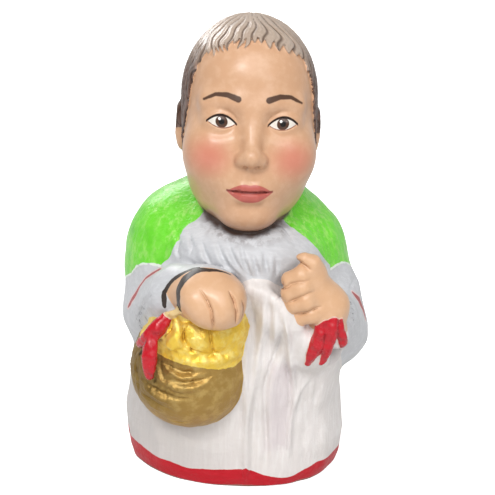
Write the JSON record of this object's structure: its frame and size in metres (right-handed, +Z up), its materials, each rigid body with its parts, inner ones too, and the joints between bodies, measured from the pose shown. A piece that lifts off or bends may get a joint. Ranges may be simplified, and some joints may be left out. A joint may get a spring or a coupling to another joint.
{
  "type": "painted terracotta figurine",
  "caption": "Small painted terracotta figurine of a round-backed woman holding a gold sack and a gathered apron, with red luck horns at her wrists.",
  "frame": {"origin": "on the table, under the middle of the figurine's bounding box", "axes": "+Z up through the crown; the figure faces -Y; its right hand, which holds the sack, is on -X"},
  "size_m": [0.0652, 0.0734, 0.1166],
  "materials": {
    "painted_terracotta": "hand-painted fired clay under a thin semi-gloss varnish: warm skin, brown hair, green back, grey shirt, white apron, red hem and horns, gold sack; bare clay underneath"
  },
  "bodies": {
    "root": {"figurine": "painted_terracotta"}
  },
  "joints": []
}
